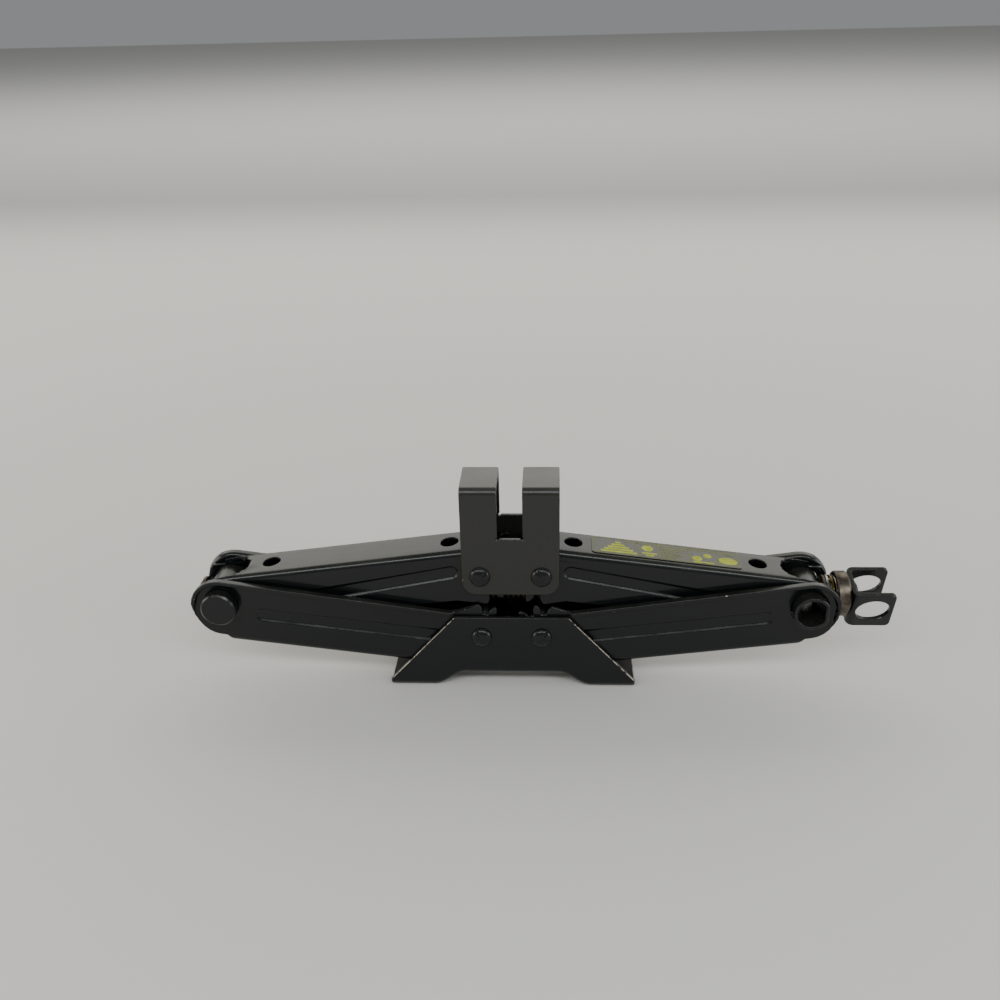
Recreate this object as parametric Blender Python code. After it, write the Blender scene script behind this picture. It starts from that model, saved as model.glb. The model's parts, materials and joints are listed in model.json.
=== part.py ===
"""Scissor car jack: four toothed channel arms between a base and a saddle, closed by a long screw.

X runs along the screw, with the handle yoke at +X. Y runs across the jack. The feet stand on Z = 0.
The jack is drawn nearly folded. Each moving piece has its origin on its own pivot.
"""

import math
from types import SimpleNamespace

import bmesh
import bpy
from mathutils import Matrix, Vector

MM = 0.001

# ---------------------------------------------------------------- driving dimensions
# Linkage
ARM_LENGTH = 153.9 * MM  # pivot to pivot
PIVOT_SPACING = 35.0 * MM  # between the two pivots of the base, and of the saddle
REST_ANGLE = math.radians(7.35)  # slope of the arms as drawn
BASE_PIVOT_HEIGHT = 35.3 * MM
CLEARANCE = 0.3 * MM  # between pieces that touch

# Sheets, from the middle of the jack outwards
RACE_ROOM = 0.8 * MM  # between the thrust races and the upper arms' flanges
ARM_SHEET = 2.3 * MM
SADDLE_SHEET = 2.4 * MM
BASE_SHEET = 2.4 * MM

# Arms. The web closes the channel, the edge is its open side.
LOWER_WEB = 25.0 * MM  # pivot line to the outside of the web
LOWER_WEB_INNER = 22.0 * MM  # the same at the inner pivot, clear of the base's raised floor
WEB_TAPER = 26.0 * MM  # from the inner pivot to where the web reaches its full depth
LOWER_EDGE_INNER = 14.2 * MM  # pivot line to the lip, at the inner end
LOWER_EDGE_OUTER = 17.0 * MM  # the same at the outer pivot, and the end's radius
LOWER_LIP = 3.3 * MM  # how far the lip stands out from the flange
LIP_FILLET = 0.6 * MM  # under the lip
LIP_FADE = 28.0  # degrees below the outer pivot over which the lip dies out
UPPER_WEB = 15.9 * MM
UPPER_EDGE = 16.0 * MM
EDGE_START = 16.4 * MM  # from the inner pivot to where the open edge takes over from the teeth
ARM_BEND = 4.0 * MM  # outside radius of the arms' bends
SEAM = 5.0 * MM  # how far the bent web's legs reach up into the flanges
HEEL = 7.0 * MM  # the web reaches this far behind the inner pivot
HEEL_RISE = 1.5 * MM
BEAD_WIDTH = 9.0 * MM
BEAD_DEPTH = 1.2 * MM
BEAD_SLOPE = 1.2  # spread of its sides, by depth
LOWER_BEAD_DROP = 4.0 * MM  # pivot line to the bead's middle, towards the web, at the inner end
UPPER_BEAD_DROP = 3.0 * MM
LOWER_BEAD_ENDS = 22.0 * MM, 20.0 * MM  # from the inner and from the outer pivot
UPPER_BEAD_ENDS = 12.0 * MM, 26.0 * MM
LOWER_BEAD_TILT = 0.0  # away from the web, towards the outer end
UPPER_BEAD_TILT = math.radians(4)
WEB_HOLE_RADIUS = 5.2 * MM
WEB_HOLE_INNER = 16.4 * MM  # from the inner pivot, along the arm
WEB_HOLE_OUTER = 30.6 * MM  # from the outer pivot, along the arm
NOTCH_BACK = 6.0 * MM  # from the outer pivot to the centre of the notch's round end
NOTCH_RAIL = 0.35 * MM  # bend left inside the flange, beside the notch
UPPER_TOE = 2.0 * MM  # the upper arm's web reaches this far past the outer pivot
UPPER_TOE_RISE = 0.7 * MM
TROUGH_BACK = 8.0 * MM  # from the outer pivot to where the lower arm's web is sheared off
TROUGH_SHEAR = 1.2  # slant of that cut, along by height

# Teeth: the sector is part of a twelve-tooth gear
TEETH_PER_TURN = 12
PRESSURE_ANGLE = math.radians(25)
ADDENDUM = 0.9  # in modules
DEDENDUM = 1.15
BACKLASH = 0.4 * MM
TOOTH_COUNT = 5

# Base
BASE_WALL_HALF = 33.4 * MM  # half of the wall's top edge
BASE_FOOT_HALF = 72.8 * MM  # half of the floor's length
BASE_WALL_RISE = 13.1 * MM  # above the pivots
BASE_BEND = 4.5 * MM
ARCH_RISE = 8.8 * MM
ARCH_FLAT = 28.0 * MM  # the raised floor reaches this far from the middle
ARCH_FOOT = 46.0 * MM  # the feet start here

# Saddle
SADDLE_HALF = 27.8 * MM
SADDLE_RISE = 55.0 * MM  # pivots to the top
SADDLE_DROP = 12.0 * MM  # pivots to the bottom of the walls
SADDLE_BEND = 4.0 * MM
SADDLE_CORNER = 8.0 * MM
SLOT_HALF = 7.1 * MM
SLOT_FLOOR = 24.0 * MM  # above the pivots
SLOT_RELIEF = 0.8 * MM

# Rivets
RIVET_RADIUS = 4.5 * MM
RIVET_HEAD_RADIUS = 5.9 * MM
RIVET_HEAD_HEIGHT = 3.0 * MM
RIVET_SHOULDER = 6.2 * MM  # radius of the stretch that keeps the flanges apart
RUNNING_GAP = 0.2 * MM  # radial, between a pin and its hole

# Trunnions
TRUNNION_HALF = 23.5 * MM  # to the end faces
NUT_BODY_RADIUS = 11.2 * MM
NUT_JOURNAL_RADIUS = 9.7 * MM
NUT_HEAD_RADIUS = 10.3 * MM
TUBE_RADIUS = 10.4 * MM
TUBE_FLAT = 9.0 * MM  # from the pivot to the flat that takes the thrust
TUBE_WALL = 2.0 * MM
TUBE_CORNER = 2.2 * MM
TRUNNION_CHAMFER = 0.9 * MM

# Screw and thrust bearing
SCREW_RADIUS = 6.0 * MM
SCREW_NECK_DEPTH = 1.6 * MM  # the necks under the stop washer and the yoke are turned down by this
SCREW_CHAMFER = 0.8 * MM
SCREW_BORE_GAP = 0.4 * MM  # radial, in the nut and in the trunnion tube
STOP_GAP = 1.4 * MM  # nut to stop washer as drawn
STOP_REACH = 2.2 * MM  # how far the washer stands out from the thread
STOP_THICKNESS = 1.8 * MM
SCREW_TIP_REACH = 1.3 * MM  # how far the riveted tip stands out from its neck
SCREW_TIP_LENGTH = 1.8 * MM
SEAT_THICKNESS = 1.6 * MM
RACE_THICKNESS = 1.4 * MM
RACE_REACH = 4.8 * MM  # how far the races stand out from the thread
SEAT_CHAMFER = 0.3 * MM
RACE_CHAMFER = 0.2 * MM
BALL_RADIUS = 1.6 * MM
BALL_COUNT = 10
BALL_GAP = 0.1 * MM
CAGE_THICKNESS = 1.2 * MM
CUP_GAP = 0.6 * MM  # radial, between the races and the cup's skirt
CUP_SKIRT = 1.8 * MM  # wall of the skirt
CUP_CHAMFER = 0.6 * MM
CUP_BASE = 6.3 * MM
SCREW_HEAD_REACH = 2.8 * MM  # how far the riveted head stands out from its neck
SCREW_HEAD_LENGTH = 2.6 * MM

# Handle yoke
YOKE_SHEET = 2.8 * MM
YOKE_GAP = 17.8 * MM  # between the ears
YOKE_HEIGHT = 25.2 * MM
YOKE_LENGTH = 24.5 * MM
YOKE_BEND = 4.0 * MM
YOKE_CORNER = 2.8 * MM
YOKE_DROP = 2.4 * MM  # the screw's axis to the middle of the ears
YOKE_TURN = math.radians(15)  # about the screw
EYE_LENGTH = 19.0 * MM
EYE_HEIGHT = 15.2 * MM
EYE_TILT = math.radians(11)
EYE_END = 2.2 * MM  # ear's end to the eye, on the middle line

# Label
LABEL_LENGTH = 86.0 * MM
LABEL_WIDTH = 19.0 * MM
LABEL_THICKNESS = 0.2 * MM
LABEL_CORNER = 2.0 * MM

# Roundness
FINE = 32
ROUND = 24

# ---------------------------------------------------------------- derived places
HALF_SPACING = PIVOT_SPACING / 2
OUTER_X = HALF_SPACING + ARM_LENGTH * math.cos(REST_ANGLE)
SCREW_HEIGHT = BASE_PIVOT_HEIGHT + ARM_LENGTH * math.sin(REST_ANGLE)
SADDLE_PIVOT_HEIGHT = BASE_PIVOT_HEIGHT + 2 * ARM_LENGTH * math.sin(REST_ANGLE)

RACE_RADIUS = SCREW_RADIUS + RACE_REACH
UPPER_INSIDE = RACE_RADIUS + RACE_ROOM
UPPER_HALF_WIDTH = UPPER_INSIDE + ARM_SHEET
LOWER_INSIDE = UPPER_HALF_WIDTH + CLEARANCE
LOWER_OUTSIDE = LOWER_INSIDE + ARM_SHEET
SADDLE_INSIDE = UPPER_HALF_WIDTH + CLEARANCE
SADDLE_OUTSIDE = SADDLE_INSIDE + SADDLE_SHEET
BASE_INSIDE = LOWER_OUTSIDE + CLEARANCE
BASE_OUTSIDE = BASE_INSIDE + BASE_SHEET

PITCH_RADIUS = HALF_SPACING
MODULE = 2 * PITCH_RADIUS / TEETH_PER_TURN
TOOTH_PITCH = 2 * math.pi / TEETH_PER_TURN
TIP_RADIUS = PITCH_RADIUS + ADDENDUM * MODULE
ROOT_RADIUS = PITCH_RADIUS - DEDENDUM * MODULE
GEAR_BASE_RADIUS = PITCH_RADIUS * math.cos(PRESSURE_ANGLE)

# The thrust stack, as distances from the right outer pivot along +X
SEAT_START = TUBE_FLAT + CLEARANCE
FIRST_RACE = SEAT_START + SEAT_THICKNESS + CLEARANCE
BALLS_START = FIRST_RACE + RACE_THICKNESS + BALL_GAP
SECOND_RACE = BALLS_START + 2 * BALL_RADIUS + BALL_GAP
CUP_FLOOR = SECOND_RACE + RACE_THICKNESS + CLEARANCE
YOKE_START = CUP_FLOOR + CUP_BASE + CLEARANCE
YOKE_END = YOKE_START + YOKE_LENGTH
CUP_LIP = UPPER_EDGE + 2 * CLEARANCE  # the skirt starts clear of the turning arm ends
SCREW_BORE = SCREW_RADIUS + SCREW_BORE_GAP
SCREW_NECK_RADIUS = SCREW_RADIUS - SCREW_NECK_DEPTH
NECK_BORE = SCREW_NECK_RADIUS + RUNNING_GAP
STOP_RADIUS = SCREW_RADIUS + STOP_REACH
SCREW_TIP_RADIUS = SCREW_NECK_RADIUS + SCREW_TIP_REACH
SCREW_HEAD_RADIUS = SCREW_NECK_RADIUS + SCREW_HEAD_REACH
BALL_CIRCLE = (SCREW_RADIUS + RACE_RADIUS) / 2
CUP_RADIUS = RACE_RADIUS + CUP_GAP + CUP_SKIRT

# The left end of the screw, as distances from the left outer pivot along -X
STOP_START = NUT_BODY_RADIUS + STOP_GAP
NECK_END = STOP_START + STOP_THICKNESS + CLEARANCE
SCREW_END = NECK_END + SCREW_TIP_LENGTH

# The model's box is centred on X = 0, so the base stands a little to one side
BASE_X = (LOWER_EDGE_OUTER - YOKE_END) / 2


# ---------------------------------------------------------------- materials
def paint(name, colour, roughness, metallic=0.0):
    found = bpy.data.materials.new(name)
    found.use_nodes = True
    shader = found.node_tree.nodes["Principled BSDF"]
    shader.inputs["Base Color"].default_value = (*colour, 1.0)
    shader.inputs["Roughness"].default_value = roughness
    shader.inputs["Metallic"].default_value = metallic
    return found


# ---------------------------------------------------------------- mesh helpers
def tidy(mesh):
    """Merges doubled points, drops the edges this leaves bare and turns every face outwards."""
    bmesh.ops.remove_doubles(mesh, verts=mesh.verts, dist=1e-7)
    bare = [edge for edge in mesh.edges if not edge.link_faces]
    bmesh.ops.delete(mesh, geom=bare, context="EDGES")
    bmesh.ops.recalc_face_normals(mesh, faces=mesh.faces)
    return mesh


def loft(rings, closed=False):
    """Joins rings with the same number of points. An open row of rings is capped at both ends."""
    mesh = bmesh.new()
    rows = [[mesh.verts.new(point) for point in ring] for ring in rings]
    count = len(rows[0])
    pairs = list(zip(rows, rows[1:]))
    if closed:
        pairs.append((rows[-1], rows[0]))
    for near, far in pairs:
        for i in range(count):
            j = (i + 1) % count
            mesh.faces.new((near[i], near[j], far[j], far[i]))
    if not closed:
        mesh.faces.new(rows[0])
        mesh.faces.new(rows[-1])
    return tidy(mesh)


def prism(outline, axis, start, end):
    """An outline drawn in the plane across the axis ("X", "Y" or "Z"), pushed from start to end."""
    place = {
        "X": lambda a, b, along: (along, a, b),
        "Y": lambda a, b, along: (a, along, b),
        "Z": lambda a, b, along: (a, b, along),
    }[axis]
    return loft([[place(a, b, along) for a, b in outline] for along in (start, end)])


def turned(profile, axis, segments=ROUND):
    """Turns a closed profile of (along, radius) points about the axis ("X" or "Y")."""
    rings = []
    for i in range(segments):
        angle = 2 * math.pi * (i + 0.5) / segments
        across, up = math.cos(angle), math.sin(angle)
        if axis == "X":
            rings.append([(along, radius * across, radius * up) for along, radius in profile])
        else:
            rings.append([(radius * across, along, radius * up) for along, radius in profile])
    return loft(rings, closed=True)


def arc(centre, radius, start, end, steps):
    """Points on an arc, with angles in degrees counted from the first axis towards the second."""
    points = []
    for i in range(steps + 1):
        angle = math.radians(start + (end - start) * i / steps)
        points.append((centre[0] + radius * math.cos(angle), centre[1] + radius * math.sin(angle)))
    return points


def rounded(corners, steps=4):
    """A polygon of (x, y, radius) corners with each corner rounded by its own radius."""
    points = []
    for i, (x, y, radius) in enumerate(corners):
        here = Vector((x, y))
        back = (Vector(corners[i - 1][:2]) - here).normalized()
        ahead = (Vector(corners[(i + 1) % len(corners)][:2]) - here).normalized()
        if radius == 0:
            points.append((x, y))
            continue
        half = back.angle(ahead) / 2
        centre = here + (back + ahead).normalized() * radius / math.sin(half)
        first = here + back * radius / math.tan(half) - centre
        last = here + ahead * radius / math.tan(half) - centre
        for step in range(steps + 1):
            spoke = first.lerp(last, step / steps).normalized() * radius
            points.append(tuple(centre + spoke))
    return points


def joined(*meshes):
    """One bmesh that holds several separate shells, for a cutter."""
    whole = bmesh.new()
    for mesh in meshes:
        copy = bpy.data.meshes.new("shell")
        mesh.to_mesh(copy)
        whole.from_mesh(copy)
        bpy.data.meshes.remove(copy)
    return whole


def moved(mesh, matrix):
    bmesh.ops.transform(mesh, matrix=matrix, verts=mesh.verts)
    return mesh


# ---------------------------------------------------------------- objects
def add(name, mesh, material=None, place=None, parent=None):
    """An object from a bmesh, placed by a matrix under its parent."""
    data = bpy.data.meshes.new(name)
    mesh.to_mesh(data)
    mesh.free()
    found = bpy.data.objects.new(name, data)
    bpy.context.scene.collection.objects.link(found)
    found.parent = parent
    found.matrix_local = place or Matrix()
    if material:
        data.materials.append(material)
        data.shade_smooth()
        data.set_sharp_from_angle(angle=math.radians(35))
    return found


def shape(owner, operation, name, mesh):
    """Joins, cuts or crosses the owner with a helper mesh drawn in the owner's own frame."""
    helper = add(f"{owner.name}_{name}", mesh, parent=owner)
    helper.hide_render = True
    helper.display_type = "WIRE"
    step = owner.modifiers.new(name, "BOOLEAN")
    step.operation = operation
    step.object = helper
    step.solver = "EXACT"


def at(x, z):
    return Matrix.Translation((x, 0, z))


# ---------------------------------------------------------------- channel section
def channel(half_width, sheet, bend, floor, leg, steps=4):
    """Section of a bent channel in (across, height): floor at the bottom, legs up to the leg height."""
    outer = arc((bend - half_width, floor + bend), bend, 180, 270, steps)
    outer += arc((half_width - bend, floor + bend), bend, 270, 360, steps)
    inner = arc((half_width - bend, floor + bend), bend - sheet, 360, 270, steps)
    inner += arc((bend - half_width, floor + bend), bend - sheet, 270, 180, steps)
    outer = [(-half_width, leg)] + outer + [(half_width, leg)]
    inner = [(half_width - sheet, leg)] + inner + [(sheet - half_width, leg)]
    return outer + inner


# ---------------------------------------------------------------- arms
def involute(angle):
    return math.tan(angle) - angle


def tooth_half_angle(radius):
    """Half of a tooth's width at this radius, as an angle about the gear's centre."""
    radius = max(radius, GEAR_BASE_RADIUS)
    at_pitch = (math.pi * MODULE / 2 - BACKLASH) / (2 * PITCH_RADIUS)
    return at_pitch + involute(PRESSURE_ANGLE) - involute(math.acos(GEAR_BASE_RADIUS / radius))


def gear_point(radius, angle):
    """A point about the inner pivot, its angle counted from the opposite arm towards the open side."""
    return -radius * math.cos(angle), radius * math.sin(angle)


def tooth(centre):
    """One tooth, from its root on the open side to its root on the web side."""
    radii = ROOT_RADIUS, GEAR_BASE_RADIUS, PITCH_RADIUS, (PITCH_RADIUS + TIP_RADIUS) / 2, TIP_RADIUS
    down = [gear_point(radius, centre + tooth_half_angle(radius)) for radius in radii]
    up = [gear_point(radius, centre - tooth_half_angle(radius)) for radius in reversed(radii)]
    return down + up


def flange_outline(kind, first_tooth):
    """Side view of an arm as (along, height, inward normal, lip weight), against the clock.

    Along runs from the inner to the outer pivot. The web side is at negative height.
    """
    plain = (0.0, 0.0), 0.0
    heel, bottom = ARM_BEND - kind.inner_web, ARM_BEND - kind.web
    points = [(0.0, heel, *plain), (WEB_TAPER, bottom, *plain)]
    sag = max(kind.edge_outer, -bottom)
    start = math.asin(bottom / sag)
    for i in range(15):
        turn = start + (math.pi / 2 - start) * i / 14
        across, up = kind.edge_outer * math.cos(turn), (sag if turn < 0 else kind.edge_outer) * math.sin(turn)
        spoke = -Vector((across, up)).normalized()
        weight = min(1.0, max(0.0, 1 + math.degrees(turn) / LIP_FADE))
        points.append((ARM_LENGTH + across, up, tuple(spoke), weight))
    lip_start = EDGE_START + LOWER_LIP
    slope = (kind.edge_outer - kind.edge_inner) / (ARM_LENGTH - lip_start)
    for i in range(1, 5):
        back = (ARM_LENGTH - lip_start) * i / 4
        points.append((ARM_LENGTH - back, kind.edge_outer - slope * back, (0.0, -1.0), 1.0))
    points.append((EDGE_START, kind.edge_inner, *plain))
    teeth = []
    for i in range(TOOTH_COUNT):
        teeth += tooth(first_tooth - i * TOOTH_PITCH)
    teeth = teeth[4:]  # the first tooth's outer flank is the sheared slope down to the edge
    last = first_tooth - (TOOTH_COUNT - 0.5) * TOOTH_PITCH
    for i in range(5):
        radius = ROOT_RADIUS + (min(-heel, PITCH_RADIUS) - ROOT_RADIUS) * i / 5
        teeth.append(gear_point(radius, last - (math.pi / 2 + last) * i / 5))
    return points + [(along, height, *plain) for along, height in teeth]


def flange(outline, kind):
    """One flange plate from its side view. Its edge turns outwards by the lip where the weight is one."""
    outside = kind.inside + ARM_SHEET
    if not kind.lip:
        return prism([(along, height) for along, height, _, _ in outline], "Y", kind.inside, outside)
    steps = []
    for degrees in (0, 30, 60, 90):
        turn = math.radians(degrees)
        steps.append((ARM_SHEET * (1 - math.sin(turn)), kind.inside, ARM_SHEET * (1 - math.cos(turn))))
    steps += [(0.0, outside, kind.lip), (ARM_SHEET, outside, kind.lip)]
    steps += [(ARM_SHEET, outside, LIP_FILLET), (ARM_SHEET + LIP_FILLET, outside, 0.0)]
    rings = []
    for inset, across, reach in steps:
        ring = []
        for along, height, (inward, down), weight in outline:
            depth = inset * weight
            ring.append((along + inward * depth, across + reach * weight, height + down * depth))
        rings.append(ring)
    return loft(rings)


def bead_cutter(kind):
    """Two long round-ended pockets, one for the outside of each flange."""
    start = Vector((kind.bead_ends[0] + BEAD_WIDTH / 2, -kind.bead_drop))
    travel = ARM_LENGTH - kind.bead_ends[1] - BEAD_WIDTH / 2 - start.x
    end = start + travel * Vector((1.0, math.tan(kind.bead_tilt)))
    turn = math.degrees(kind.bead_tilt)
    outside = kind.inside + ARM_SHEET
    pockets = []
    for side in (-1, 1):
        rings = []
        for depth in (-BEAD_DEPTH, BEAD_DEPTH):
            radius = BEAD_WIDTH / 2 - BEAD_SLOPE * depth
            outline = arc(end, radius, turn - 90, turn + 90, 8)
            outline += arc(start, radius, turn + 90, turn + 270, 8)
            rings.append([(along, side * (outside - depth), height) for along, height in outline])
        pockets.append(loft(rings))
    return joined(*pockets)


def pin_hole(along, height, radius, reach, segments=FINE):
    return moved(
        turned([(-reach, 0), (-reach, radius), (reach, radius), (reach, 0)], "Y", segments),
        Matrix.Translation((along, 0, height)),
    )


def notch_cutter(kind):
    """The open-ended slot in the web that lets the screw through as the arm turns."""
    half = kind.inside - NOTCH_RAIL
    outline = arc((ARM_LENGTH - NOTCH_BACK, 0.0), half, 90, 270, 12)
    outline += [(ARM_LENGTH + 2 * kind.web, -half), (ARM_LENGTH + 2 * kind.web, half)]
    return prism(outline, "Z", -2 * kind.web, ARM_BEND - kind.web)


def trough(kind):
    """The bent web with short legs, from behind the inner pivot to the outer end."""
    rings = []
    for along, depth in kind.floor:
        section = channel(kind.inside + ARM_SHEET, ARM_SHEET, ARM_BEND, -depth, ARM_BEND - depth + SEAM)
        rings.append([(along, across, height) for across, height in section])
    slanted = []
    for along, across, height in rings[-1]:
        slanted.append((along + kind.shear * (height + kind.web), across, height))
    return loft(rings[:-1] + [slanted])


def web_drills(kind):
    """Cutters for the round holes in the web."""
    drills = []
    for along in (WEB_HOLE_INNER, ARM_LENGTH - WEB_HOLE_OUTER):
        circle = arc((along, 0.0), WEB_HOLE_RADIUS, 0, 345, 23)
        drills.append(prism(circle, "Z", -2 * kind.web, ARM_BEND - kind.web))
    return joined(*drills)


LOWER = SimpleNamespace(
    inside=LOWER_INSIDE,
    web=LOWER_WEB,
    inner_web=LOWER_WEB_INNER,
    edge_inner=LOWER_EDGE_INNER,
    edge_outer=LOWER_EDGE_OUTER,
    lip=LOWER_LIP,
    bead_ends=LOWER_BEAD_ENDS,
    bead_drop=LOWER_BEAD_DROP,
    bead_tilt=LOWER_BEAD_TILT,
    floor=(
        (-HEEL, LOWER_WEB_INNER - HEEL_RISE),
        (0.0, LOWER_WEB_INNER),
        (WEB_TAPER, LOWER_WEB),
        (ARM_LENGTH - TROUGH_BACK, LOWER_WEB),
    ),
    shear=TROUGH_SHEAR,
)
UPPER = SimpleNamespace(
    inside=UPPER_INSIDE,
    web=UPPER_WEB,
    inner_web=UPPER_WEB,
    edge_inner=UPPER_EDGE,
    edge_outer=UPPER_EDGE,
    lip=0.0,
    bead_ends=UPPER_BEAD_ENDS,
    bead_drop=UPPER_BEAD_DROP,
    bead_tilt=UPPER_BEAD_TILT,
    floor=(
        (-HEEL, UPPER_WEB - HEEL_RISE),
        (0.0, UPPER_WEB),
        (ARM_LENGTH - NOTCH_BACK, UPPER_WEB),
        (ARM_LENGTH + UPPER_TOE, UPPER_WEB - UPPER_TOE_RISE),
    ),
    shear=0.0,
)


def arm(name, material, kind, first_tooth, journal, origin, place):
    """A whole arm in its frame (along, across, height), whose origin is this far from the inner pivot."""
    shift = Matrix.Translation((-origin, 0, 0))
    found = add(name, moved(trough(kind), shift), material, place, JACK)
    outline = flange_outline(kind, first_tooth)
    for side, word in ((1, "rear"), (-1, "front")):
        plate = moved(flange(outline, kind), Matrix.Diagonal((1, side, 1, 1)))
        bmesh.ops.recalc_face_normals(plate, faces=plate.faces)
        shape(found, "UNION", f"{word}_flange", moved(plate, shift))
    shape(found, "DIFFERENCE", "notch", moved(notch_cutter(kind), shift))
    shape(found, "DIFFERENCE", "beads", moved(bead_cutter(kind), shift))
    reach = 2 * (kind.inside + ARM_SHEET)
    inner_hole = pin_hole(0, 0, RIVET_RADIUS + RUNNING_GAP, reach)
    outer_hole = pin_hole(ARM_LENGTH, 0, journal + CLEARANCE, reach)
    shape(found, "DIFFERENCE", "pivot_holes", moved(joined(inner_hole, outer_hole), shift))
    if kind is UPPER:
        shape(found, "DIFFERENCE", "web_holes", moved(web_drills(kind), shift))
    return found


def arm_frame(x, z, along, height):
    """Places an arm's own frame: its direction and its height are given as (x, z) vectors."""
    first = Vector((along[0], 0, along[1]))
    third = Vector((height[0], 0, height[1]))
    turn = Matrix((first, third.cross(first), third)).transposed()
    return Matrix.Translation((x, 0, z)) @ turn.to_4x4()


# ---------------------------------------------------------------- base
def arch(x):
    """Height of the floor's underside, rising from the feet to the middle."""
    share = min(1.0, max(0.0, (ARCH_FOOT - abs(x)) / (ARCH_FOOT - ARCH_FLAT)))
    return ARCH_RISE * share * share * (3 - 2 * share)


def wall_top(x):
    """Top edge of the base's walls: level in the middle, sloping to the floor at both ends."""
    level = BASE_PIVOT_HEIGHT + BASE_WALL_RISE
    foot = BASE_BEND + CLEARANCE
    share = max(0.0, (abs(x) - BASE_WALL_HALF) / (BASE_FOOT_HALF - BASE_WALL_HALF))
    return level + (foot - level) * share


def make_base(material):
    slope = [ARCH_FLAT + (ARCH_FOOT - ARCH_FLAT) * i / 6 for i in range(7)]
    half = sorted(set(slope + [BASE_WALL_HALF, BASE_FOOT_HALF]))
    rings = []
    for x in [-x for x in reversed(half)] + half:
        section = channel(BASE_OUTSIDE, BASE_SHEET, BASE_BEND, arch(x), wall_top(x))
        rings.append([(x, across, height) for across, height in section])
    found = add("base", loft(rings), material, parent=JACK)
    holes = [
        pin_hole(side * HALF_SPACING, BASE_PIVOT_HEIGHT, RIVET_RADIUS + RUNNING_GAP, 2 * BASE_OUTSIDE)
        for side in (-1, 1)
    ]
    shape(found, "DIFFERENCE", "rivet_holes", joined(*holes))


# ---------------------------------------------------------------- saddle
def make_saddle(material):
    """The saddle's frame has its origin on the left one of its two pivots."""
    section = channel(SADDLE_OUTSIDE, SADDLE_SHEET, SADDLE_BEND, -SADDLE_RISE, SADDLE_DROP)
    section = [(across, -height) for across, height in section]
    shift = Matrix.Translation((HALF_SPACING, 0, 0))
    body = moved(prism(section, "X", -SADDLE_HALF, SADDLE_HALF), shift)
    found = add("saddle", body, material, at(-HALF_SPACING, SADDLE_PIVOT_HEIGHT), JACK)
    front = rounded(
        [
            (-SADDLE_HALF, -SADDLE_DROP, SADDLE_CORNER),
            (SADDLE_HALF, -SADDLE_DROP, SADDLE_CORNER),
            (SADDLE_HALF, SADDLE_RISE + SADDLE_BEND, 0),
            (SLOT_HALF, SADDLE_RISE + SADDLE_BEND, 0),
            (SLOT_HALF, SLOT_FLOOR, 0),
            (-SLOT_HALF, SLOT_FLOOR, 0),
            (-SLOT_HALF, SADDLE_RISE + SADDLE_BEND, 0),
            (-SADDLE_HALF, SADDLE_RISE + SADDLE_BEND, 0),
        ],
        steps=6,
    )
    reach = 2 * SADDLE_OUTSIDE
    shape(found, "INTERSECT", "front_view", moved(prism(front, "Y", -reach, reach), shift))
    holes = [pin_hole(x, 0, RIVET_RADIUS + RUNNING_GAP, reach) for x in (0, PIVOT_SPACING)]
    for side in (-1, 1):
        holes.append(pin_hole(HALF_SPACING + side * SLOT_HALF, SLOT_FLOOR, SLOT_RELIEF, reach, 12))
    shape(found, "DIFFERENCE", "holes", joined(*holes))


# ---------------------------------------------------------------- rivets
def rivet(outside, inside):
    """A shouldered pin with a domed head against each outer wall."""
    seat = outside + CLEARANCE / 2
    dome = []
    for i in range(5):
        angle = math.radians(90 * i / 4)
        dome.append((seat + RIVET_HEAD_HEIGHT * math.sin(angle), RIVET_HEAD_RADIUS * math.cos(angle)))
    shoulder = inside - CLEARANCE
    half = [(shoulder, RIVET_SHOULDER), (shoulder, RIVET_RADIUS), (seat, RIVET_RADIUS)] + dome
    return turned([(-along, radius) for along, radius in reversed(half)] + half, "Y")


def make_rivets(material):
    for side, word in ((-1, "left"), (1, "right")):
        x = side * HALF_SPACING
        pin = rivet(BASE_OUTSIDE, LOWER_INSIDE)
        add(f"base_rivet_{word}", pin, material, at(x, BASE_PIVOT_HEIGHT), JACK)
        pin = rivet(SADDLE_OUTSIDE, UPPER_INSIDE)
        add(f"saddle_rivet_{word}", pin, material, at(x, SADDLE_PIVOT_HEIGHT), JACK)


# ---------------------------------------------------------------- trunnions
def screw_bore(reach):
    profile = [(-reach, 0), (-reach, SCREW_BORE), (reach, SCREW_BORE), (reach, 0)]
    return turned(profile, "X")


def make_nut_trunnion(material):
    shoulder = UPPER_INSIDE - CLEARANCE
    seat = LOWER_OUTSIDE + CLEARANCE
    half = [
        (shoulder, NUT_BODY_RADIUS),
        (shoulder, NUT_JOURNAL_RADIUS),
        (seat, NUT_JOURNAL_RADIUS),
        (seat, NUT_HEAD_RADIUS),
        (TRUNNION_HALF - TRUNNION_CHAMFER, NUT_HEAD_RADIUS),
        (TRUNNION_HALF, NUT_HEAD_RADIUS - TRUNNION_CHAMFER),
        (TRUNNION_HALF, 0),
    ]
    profile = [(-along, radius) for along, radius in reversed(half)] + half
    block = turned(profile, "Y", FINE)
    found = add("nut_trunnion", block, material, at(-OUTER_X, SCREW_HEIGHT), JACK)
    shape(found, "DIFFERENCE", "thread_bore", screw_bore(2 * NUT_BODY_RADIUS))


def d_outline(radius, flat, corner):
    """A round with a flat at +X. The corners between them are rounded."""
    turn = math.degrees(math.acos((flat - corner) / (radius - corner)))
    height = (radius - corner) * math.sin(math.radians(turn))
    points = arc((flat - corner, height), corner, 0, turn, 4)
    points += arc((0.0, 0.0), radius, turn, 360 - turn, 26)[1:-1]
    return points + arc((flat - corner, -height), corner, -turn, 0, 4)


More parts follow.
